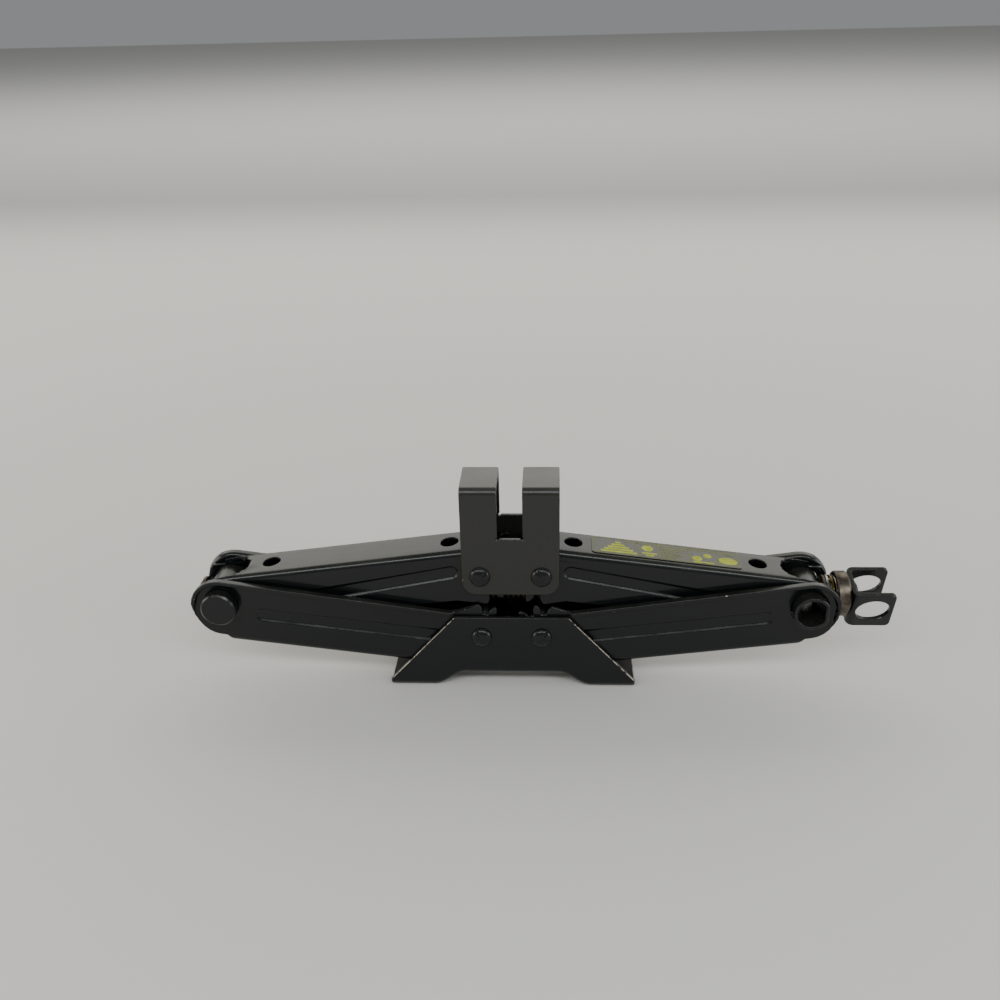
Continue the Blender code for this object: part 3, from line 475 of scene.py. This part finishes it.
# ---------------------------------------------------------------- operators
class JACK_OT_pressings(bpy.types.Operator):
    """Base, saddle and the four arms: bent sheet with broken edges under enamel"""

    bl_idname = "jack.pressings"
    bl_label = "Pressings"

    def execute(self, context):
        look = context.scene.jack_enamel
        enamel = stoved_enamel("stoved_black_enamel", look.colour, look.gloss, 0.0)
        edge = stoved_enamel("rubbed_enamel_edge", look.colour, look.gloss, look.rubbed)
        # The base's slanted edges get bare pale steel as a painted highlight.
        bared = stoved_enamel("scraped_base_edge", look.colour, look.gloss, look.base_edge_highlight)
        grey = stoved_enamel("stoved_saddle_enamel", look.saddle_colour, look.gloss + 0.09, 0.0, 1.5)
        rubbed = look.gloss + 0.06, look.rubbed, 1.5
        grey_edge = stoved_enamel("rubbed_saddle_edge", look.saddle_colour, *rubbed)
        for arm in ("lower_arm_left", "lower_arm_right", "upper_arm_left", "upper_arm_right"):
            body = arm.replace("_arm", "")
            tear = torn_notch(arm) if arm.startswith("upper") else None
            coats = (enamel, edge)
            pressing = broken_edges(arm, f"{arm}_pressing", coats, look.edge, ragged=tear, rim=look.rim)
            finish_piece(pressing, body, "black_paint", arm)
        pressing = broken_edges("base", "base_pressing", (enamel, bared), look.edge)
        for face in pressing.data.polygons:
            # Only the slanted edges take the bare pale steel, a painted highlight for the bright line along
            # them. The rounds along the top and the feet keep their enamel.
            if abs(face.normal.x) < LEVEL_SHARE:
                face.material_index = 0
        finish_piece(pressing, "base", "black_paint", "base")
        pressing = broken_edges("saddle", "saddle_pressing", (grey, grey_edge), look.edge)
        finish_piece(pressing, "saddle", "saddle_paint", "saddle")
        return {"FINISHED"}


def torn_notch(arm):
    """Jitters the edge of the notch in an upper arm's web, where the punch tore the sheet."""
    outer = NUT_PIVOT if arm.endswith("left") else SCREW_AXIS
    inner = SADDLE_LEFT if arm.endswith("left") else SADDLE_RIGHT
    along = Vector((inner.x - outer.x, 0, inner.z - outer.z)).normalized()

    def tear(work):
        rng = random.Random(7 if arm.endswith("left") else 11)

        def torn(vert):
            from_pivot = Vector((vert.co.x - outer.x, 0, vert.co.z - outer.z))
            travel = from_pivot.dot(along)
            height = (from_pivot - along * travel).length
            return 0 < travel < NOTCH_REACH and height > NOTCH_HEIGHT and abs(vert.co.y) < NOTCH_HALF_WIDTH

        edges = [e for e in work.edges if torn(e.verts[0]) and torn(e.verts[1]) and e.calc_length() > MM]
        bmesh.ops.subdivide_edges(work, edges=edges, cuts=1)
        for vert in sorted(filter(torn, work.verts), key=lambda v: tuple(v.co)):
            vert.co += along * rng.uniform(-0.7, 0.5) * MM
            vert.co.y += rng.uniform(-0.3, 0.3) * MM

    return tear


class JACK_OT_trunnions(bpy.types.Operator):
    """The solid nut trunnion, the D-section bearing trunnion and the handle yoke"""

    bl_idname = "jack.trunnions"
    bl_label = "Trunnions and yoke"

    def execute(self, context):
        look = context.scene.jack_enamel
        enamel = stoved_enamel("stoved_fitting_enamel", look.colour, look.gloss + 0.03, 0.02)
        edge = stoved_enamel("rubbed_fitting_edge", look.colour, look.gloss, look.rubbed)
        bodies = {"nut_trunnion": "nut", "bearing_trunnion": "bearing", "handle_yoke": "screw"}
        for part, body in bodies.items():
            made = broken_edges(part, f"{part}_finished", (enamel, edge), look.edge)
            finish_piece(made, body, "black_paint", part)
        return {"FINISHED"}


def rivet_mesh(name, half, look, seed):
    """A riveted pin along Y: a plain shank and a domed head at each end, dented by the riveting tool."""
    rng = random.Random(seed)
    height = 3.0 * MM  # of a head
    shank = 4.5 * MM  # radius
    around = 48
    mark_ring, mark_spread = 0.62, 0.28  # where the marks lie, as shares of the head's radius
    mark_sharpness = 40
    dome = [(0.0, 1.0), (0.16, 1.0), (0.42, 0.955), (0.66, 0.80), (0.84, 0.56), (0.95, 0.30)]
    verts, faces = [], []
    rows = []
    turns = {-1: rng.uniform(0, math.tau), 1: rng.uniform(0, math.tau)}
    profile = [(-1, rise, wide) for rise, wide in reversed(dome)]
    profile += [(0, -1, look.collar), (0, -0.9, shank), (0, 0.9, shank), (0, 1, look.collar)]
    profile += [(1, rise, wide) for rise, wide in dome]
    for side, rise, wide in profile:
        row = []
        for i in range(around):
            angle = math.tau * i / around
            if side:
                radius = look.collar * wide
                travel = side * (half - height + height * rise)
                if look.marks and rise > 0.3:
                    turn = (angle - turns[side]) * look.marks / 2
                    radial = math.exp(-((wide - mark_ring) / mark_spread) ** 2)
                    travel -= side * look.dent * abs(math.cos(turn)) ** mark_sharpness * radial
            else:
                radius = wide
                travel = rise * (half - height)
            row.append(len(verts))
            verts.append((radius * math.cos(angle), travel, radius * math.sin(angle)))
        rows.append(row)
    for near, far in zip(rows, rows[1:]):
        for i in range(around):
            j = (i + 1) % around
            faces.append((near[i], near[j], far[j], far[i]))
    for row, side in ((rows[0], -1), (rows[-1], 1)):
        tip = len(verts)
        verts.append((0.0, side * half, 0.0))
        for i in range(around):
            faces.append((row[i], row[(i + 1) % around], tip))
    return shelled(name, verts, faces)


class JACK_OT_rivets(bpy.types.Operator):
    """The four shouldered rivets, set out by Geometry Nodes at the pivots of the base and of the saddle"""

    bl_idname = "jack.rivets"
    bl_label = "Rivets"

    def execute(self, context):
        look = context.scene.jack_rivets
        paint = context.scene.jack_enamel
        enamel = stoved_enamel("hammered_rivet_enamel", paint.colour, paint.gloss + 0.02, 0.12)
        for body in ("base", "saddle"):
            nodes = [f"{body}_rivet_left", f"{body}_rivet_right"]
            low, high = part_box(nodes[0])
            half = (high.y - low.y) / 2
            pin = rivet_mesh(f"{body}_rivet_master", half, look, 3 + len(body))
            places = shelled(f"{body}_rivets", [middle(name) for name in nodes], [])
            tree = set_out_tree(f"{body}_rivet_layout")
            rig = places.modifiers.new("layout", "NODES")
            rig.node_group = tree
            fill(rig, {"Piece": pin, "Half turn": math.pi, "Material": enamel})
            rivets = settle(places)
            bpy.data.objects.remove(pin)
            smooth(rivets.data)
            finish_piece(rivets, body, "rivet_paint", *nodes)
        return {"FINISHED"}


def fill(modifier, values):
    """Gives a Geometry Nodes modifier its inputs by the names that its tree shows."""
    for item in modifier.node_group.interface.items_tree:
        if item.item_type == "SOCKET" and item.in_out == "INPUT" and item.name in values:
            modifier[item.identifier] = values[item.name]


def socket(tree, name, kind, into=True):
    return tree.interface.new_socket(name, in_out="INPUT" if into else "OUTPUT", socket_type=kind)


def finish_tree(tree, geometry, material):
    """Ends a tree: the instances are made real and take their material."""
    real = node(tree, "GeometryNodeRealizeInstances", {"Geometry": geometry})
    done = node(tree, "GeometryNodeSetMaterial", {"Geometry": real, "Material": material})
    node(tree, "NodeGroupOutput", {"Geometry": done})


def set_out_tree(name):
    """Puts a piece on every point, each other one turned about Y, and gives the result its material."""
    tree = bpy.data.node_groups.new(name, "GeometryNodeTree")
    socket(tree, "Geometry", "NodeSocketGeometry")
    socket(tree, "Piece", "NodeSocketObject")
    socket(tree, "Half turn", "NodeSocketFloat")
    socket(tree, "Material", "NodeSocketMaterial")
    socket(tree, "Geometry", "NodeSocketGeometry", into=False)
    given = node(tree, "NodeGroupInput").outputs
    piece = node(tree, "GeometryNodeObjectInfo", {"Object": given["Piece"]}).outputs["Geometry"]
    index = node(tree, "GeometryNodeInputIndex")
    turn = node(tree, MATHS, [index, given["Half turn"]], operation="MULTIPLY")
    spin = node(tree, "ShaderNodeCombineXYZ", {"Y": turn})
    spin = node(tree, "FunctionNodeEulerToRotation", {"Euler": spin})
    settings = {"Points": given["Geometry"], "Instance": piece, "Rotation": spin}
    finish_tree(tree, node(tree, "GeometryNodeInstanceOnPoints", settings), given["Material"])
    return tree


def ball_ring_tree():
    """A ring of balls about X, with sockets for its count and sizes."""
    tree = bpy.data.node_groups.new("ball_ring", "GeometryNodeTree")
    socket(tree, "Geometry", "NodeSocketGeometry")
    for name, kind in (("Count", "Int"), ("Ball radius", "Float"), ("Circle radius", "Float")):
        socket(tree, name, f"NodeSocket{kind}")
    socket(tree, "Centre", "NodeSocketVector")
    socket(tree, "Material", "NodeSocketMaterial")
    socket(tree, "Geometry", "NodeSocketGeometry", into=False)
    given = node(tree, "NodeGroupInput").outputs
    circle = {"Vertices": given["Count"], "Radius": given["Circle radius"]}
    ring = node(tree, "GeometryNodeMeshCircle", circle)
    sphere = {"Radius": given["Ball radius"], "Segments": 24, "Rings": 16}
    ball = node(tree, "GeometryNodeMeshUVSphere", sphere)
    placed = node(tree, "GeometryNodeInstanceOnPoints", {"Points": ring, "Instance": ball})
    quarter = (0.0, math.pi / 2, 0.0)
    settings = {"Geometry": placed, "Translation": given["Centre"], "Rotation": quarter}
    finish_tree(tree, node(tree, "GeometryNodeTransform", settings), given["Material"])
    return tree


class JACK_OT_bearing(bpy.types.Operator):
    """The thrust bearing at the handle end: cup, washers, races, brass cage and its ring of balls"""

    bl_idname = "jack.bearing"
    bl_label = "Thrust bearing"

    def execute(self, context):
        rough = turned_steel("turned_mild_steel", "#3E372F", "#7B7267", 0.42, 0.45 * MM)
        bright = ground_steel()
        brass = stamped_brass()
        pieces = (
            ("thrust_cup", "screw", "bare_steel", rough, 0.35 * MM),
            ("stop_washer", "screw", "bare_steel", rough, 0.12 * MM),
            ("seat_washer", "bearing", "bare_steel", rough, 0.12 * MM),
            ("thrust_race_inner", "bearing", "ground_steel", bright, 0.10 * MM),
            ("thrust_race_outer", "screw", "ground_steel", bright, 0.10 * MM),
            ("ball_cage", "ball_cage", "cage_brass", brass, 0.08 * MM),
        )
        for part, body, slot, material, width in pieces:
            made = broken_edges(part, f"{part}_finished", (material,), width, 2)
            finish_piece(made, body, slot, part)
        names = sorted(name for name in frame["nodes"] if name.startswith("thrust_ball"))
        first = middle(names[0])
        low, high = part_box(names[0])
        host = shelled("thrust_balls", [(0, 0, 0)], [])
        rig = host.modifiers.new("ring", "NODES")
        rig.node_group = ball_ring_tree()
        centre = Vector((first.x, SCREW_AXIS.y, SCREW_AXIS.z))
        values = {
            "Count": len(names),
            "Ball radius": (high.x - low.x) / 2,
            "Circle radius": (first - centre).length,
            "Centre": centre,
            "Material": bright,
        }
        fill(rig, values)
        balls = settle(host)
        smooth(balls.data, 60)
        finish_piece(balls, "ball_cage", "ground_steel", *names)
        return {"FINISHED"}


class JACK_OT_screw(bpy.types.Operator):
    """The long screw: a rolled trapezoidal thread between a riveted tip and a riveted head"""

    bl_idname = "jack.screw"
    bl_label = "Screw"

    def execute(self, context):
        look = context.scene.jack_screw
        low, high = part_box("lift_screw")
        washer_low, washer_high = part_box("stop_washer")
        yoke_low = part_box("handle_yoke")[0]
        crest, neck, gap, fade = CREST_RADIUS, NECK_RADIUS, NECK_GAP, RUN_OUT
        root = crest - look.depth
        start, end = washer_high.x + gap, yoke_low.x - gap
        profile = [(low.x, 0.0), (low.x, crest - 1.1 * MM), (low.x + 0.8 * MM, crest - 0.3 * MM)]
        profile += [(washer_low.x - gap, crest - 0.3 * MM), (washer_low.x - gap, neck), (start, neck)]
        profile += [(start + 0.3 * MM, root)]
        rows = [[point] * look.around for point in profile]
        steps = int((end - start - 2 * fade) / look.pitch * ROWS_PER_TURN)
        first, last = start + fade / 2, end - fade / 2
        for k in range(steps + 1):
            x = first + (last - first) * k / steps
            run_out = min(1.0, (x - first) / fade, (last - x) / fade)
            row = []
            for i in range(look.around):
                # The share of a turn gives a flat root, a steep flank and a flat crest.
                phase = (x / look.pitch - i / look.around) % 1.0
                tooth = min(1.0, max(0.0, (0.5 - abs(phase - 0.5)) * 6 - 0.85))
                row.append((x, crest - look.depth * (1 - tooth * max(0.0, run_out))))
            rows.append(row)
        head = yoke_low.x + YOKE_SHEET + gap
        profile = [(end, root), (end, neck), (head, neck), (head, HEAD_RADIUS)]
        profile += [(head + 1.2 * MM, HEAD_RADIUS), (head + 2.2 * MM, 5.9 * MM)]
        profile += [(high.x, 3.4 * MM), (high.x, 0.0)]
        rows += [[point] * look.around for point in profile]
        verts, faces = [], []
        for row in rows:
            for i, (x, radius) in enumerate(row):
                angle = math.tau * i / look.around
                verts.append((x, radius * math.cos(angle), SCREW_AXIS.z + radius * math.sin(angle)))
        for k in range(len(rows) - 1):
            for i in range(look.around):
                j = (i + 1) % look.around
                a, b = k * look.around, (k + 1) * look.around
                faces.append((a + i, a + j, b + j, b + i))
        made = shelled("lift_screw_thread", verts, faces)
        smooth(made.data, 50)
        made.data.materials.append(greased_thread(crest, root))
        finish_piece(made, "screw", "greased_screw", "lift_screw")
        return {"FINISHED"}


class JACK_OT_label(bpy.types.Operator):
    """The film label on the right upper arm, with plain marks in place of any print"""

    bl_idname = "jack.label"
    bl_label = "Label"

    def execute(self, context):
        look = context.scene.jack_label
        film = printed_film("label_film_ground", look.ground, "#24271A", 0.22)
        bold = printed_film("label_ink_bold", look.ink, "#5E6414", 0.34, 0.85)
        faint = printed_film("label_ink_faint", look.faint, "#3A3E16", 0.34, 0.85)
        ground = broken_edges("instruction_label", "instruction_label_film", (film,), 0.06 * MM, 2)
        finish_piece(ground, "upper_right", "label_film", "instruction_label")
        along = SCREW_AXIS - SADDLE_RIGHT
        along.y = 0
        along.normalize()
        across = Vector((0, 1, 0))
        up = along.cross(across)
        centre = middle("instruction_label") + up * 0.1 * MM
        place = Matrix((along, across, up)).transposed().to_4x4()
        place.translation = centre
        layers = (("label_marks_bold", bold_marks(), bold), ("label_marks_faint", faint_marks(), faint))
        for name, shapes, ink in layers:
            verts, faces = [], []
            for outline in shapes:
                start = len(verts)
                count = len(outline)
                for height in (0.0, 0.04 * MM):
                    verts += [place @ Vector((x * MM, y * MM, height)) for x, y in outline]
                faces.append(tuple(range(start, start + count)))
                faces.append(tuple(range(start + count, start + 2 * count)))
                for i in range(count):
                    j = (i + 1) % count
                    faces.append((start + i, start + j, start + count + j, start + count + i))
            made = shelled(name, verts, faces)
            made.data.materials.append(ink)
            finish_piece(made, "upper_right", "label_film")
        return {"FINISHED"}


def bar(x, y, length, width):
    """A plain rectangle from its left end, in millimetres from the label's middle."""
    return [(x, y - width / 2), (x + length, y - width / 2), (x + length, y + width / 2), (x, y + width / 2)]


def disc(x, y, radius, sides=20, squash=1.0):
    """A round outline of straight sides, flattened across the label by its last value."""
    turns = [math.tau * i / sides for i in range(sides)]
    return [(x + radius * math.cos(t), y + radius * squash * math.sin(t)) for t in turns]


def bold_marks():
    """Filled shapes: a stack of bars, a hexagon on a foot, two discs on a bar, and a wide rounded block."""
    shapes = [bar(-38 + 2.2 * i, -6.2 + 2.7 * i, 21 - 4.4 * i, 1.9) for i in range(5)]
    shapes += [disc(-10.5, 1.6, 3.6, 6), bar(-14.0, -4.2, 8.5, 1.6), bar(-12.2, -6.6, 4.8, 1.4)]
    shapes += [disc(17.8, -3.2, 2.9), disc(24.2, 0.6, 2.4), bar(15.2, -7.4, 12.0, 1.4)]
    shapes += [disc(35.6, -2.8, 5.6, 28, 0.68)]
    return shapes


def faint_marks():
    """Thin shapes: a border, four dividers, short bars along the top and in the third and last panels."""
    shapes = [bar(-41.6, 8.4, 83.2, 0.45), bar(-41.6, -8.6, 83.2, 0.45)]
    shapes += [bar(x, -0.1, 0.45, 17.2) for x in (-42.0, -15.9, -4.6, 13.2, 30.0, 41.6)]
    shapes += [bar(-24 + 6.1 * i, 6.4, 4.6, 1.0) for i in range(9)]
    shapes += [bar(-3.0, 3.6 - 2.1 * i, 14.4 - 3.1 * (i % 3), 0.85) for i in range(6)]
    shapes += [bar(31.6, 4.0, 8.4, 0.9), bar(31.6, 6.2, 6.0, 0.9)]
    return shapes


class JACK_OT_stage(bpy.types.Operator):
    """A pale floor, soft studio light and the camera"""

    bl_idname = "jack.stage"
    bl_label = "Stage"

    def execute(self, context):
        look = context.scene.jack_stage
        reach = 14.0
        corners = [(-reach, -reach, 0), (reach, -reach, 0), (reach, reach, 0), (-reach, reach, 0)]
        floor = shelled("floor", corners, [(0, 1, 2, 3)])
        floor.data.materials.append(painted_board(look.floor))
        world = bpy.data.worlds.new("room")
        world.use_nodes = True
        sky = world.node_tree.nodes["Background"].inputs
        sky["Color"].default_value = linear("#E9ECEE")
        sky["Strength"].default_value = look.room
        context.scene.world = world
        target = JACK_MIDDLE + Vector((0, 0, 0.06))
        softbox("rear_softbox", (0.0, 1.15, 0.85), target, (3.4, 1.1), look.key, "#FFFDF4")
        softbox("front_strip", (0.0, -0.86, 0.98), target, (2.4, 0.24), look.key * 0.66, "#FBFDFF")
        softbox("left_panel", (-1.25, -0.15, 0.34), target, (1.5, 0.6), look.key * 0.45, "#FFFCF4")
        softbox("right_panel", (1.25, -0.15, 0.34), target, (1.5, 0.6), look.key * 0.45, "#F8FBFF")
        behind = Vector((JACK_MIDDLE.x, 6.0, 0))
        softbox("floor_wash", (0.0, 2.4, 2.9), behind, (7.0, 1.6), look.key * 9, "#FFFFFF")
        stand_camera(context.scene)
        return {"FINISHED"}


def softbox(name, spot, target, size, power, colour):
    """A rectangular area light, placed from the jack's middle and turned to its target."""
    light = bpy.data.lights.new(name, "AREA")
    light.shape = "RECTANGLE"
    light.size, light.size_y = size
    light.energy = power
    light.color = linear(colour)[:3]
    made = bpy.data.objects.new(name, light)
    made.location = Vector(spot) + Vector((JACK_MIDDLE.x, 0, 0))
    made.rotation_euler = (target - made.location).to_track_quat("-Z", "Y").to_euler()
    bpy.context.scene.collection.objects.link(made)


def stand_camera(scene):
    """A close view from the front and above, slightly turned and rolled."""
    yaw, pitch, roll = math.radians(-3.338), math.radians(26.281), math.radians(-1.439)
    ahead = Vector((math.sin(yaw), math.cos(yaw), 0))
    right = Vector((math.cos(yaw), -math.sin(yaw), 0))
    up = Vector((0, 0, 1))
    look = ahead * math.cos(pitch) - up * math.sin(pitch)
    rise = up * math.cos(pitch) + ahead * math.sin(pitch)
    side = right * math.cos(roll) + rise * math.sin(roll)
    rise = rise * math.cos(roll) - right * math.sin(roll)
    lens = bpy.data.cameras.new("camera")
    lens.sensor_width = 36
    lens.lens = 36
    lens.clip_start = 0.01
    camera = bpy.data.objects.new("camera", lens)
    turn = Matrix((side, rise, -look)).transposed().to_4x4()
    spot = Vector((JACK_MIDDLE.x + 23.668 * MM, -506.179 * MM, 365.667 * MM))
    camera.matrix_world = Matrix.Translation(spot) @ turn
    scene.collection.objects.link(camera)
    scene.camera = camera


class JACK_PT_panel(bpy.types.Panel):
    """Lists the jack's settings and the steps that build it"""

    bl_idname = "JACK_PT_panel"
    bl_label = "Scissor jack"
    bl_space_type = "VIEW_3D"
    bl_region_type = "UI"
    bl_category = "Jack"

    def draw(self, context):
        for operator, settings in STEPS:
            box = self.layout.box()
            box.operator(operator.bl_idname)
            if settings:
                group = getattr(context.scene, settings)
                for name in group.bl_rna.properties.keys():
                    if name not in ("rna_type", "name"):
                        box.prop(group, name)


STEPS = (
    (JACK_OT_pressings, "jack_enamel"),
    (JACK_OT_trunnions, None),
    (JACK_OT_rivets, "jack_rivets"),
    (JACK_OT_bearing, None),
    (JACK_OT_screw, "jack_screw"),
    (JACK_OT_label, "jack_label"),
    (JACK_OT_stage, "jack_stage"),
)
GROUPS = {
    "jack_enamel": JackEnamel,
    "jack_rivets": JackRivets,
    "jack_screw": JackScrew,
    "jack_label": JackLabel,
    "jack_stage": JackStage,
}


def register():
    for name, group in GROUPS.items():
        bpy.utils.register_class(group)
        setattr(bpy.types.Scene, name, bpy.props.PointerProperty(type=group))
    for operator, _ in STEPS:
        bpy.utils.register_class(operator)
    bpy.utils.register_class(JACK_PT_panel)


def unregister():
    bpy.utils.unregister_class(JACK_PT_panel)
    for operator, _ in reversed(STEPS):
        bpy.utils.unregister_class(operator)
    for name, group in GROUPS.items():
        delattr(bpy.types.Scene, name)
        bpy.utils.unregister_class(group)


def main():
    register()
    for operator, _ in STEPS:
        group, name = operator.bl_idname.split(".")
        getattr(getattr(bpy.ops, group), name)()


if __name__ == "__main__":
    main()
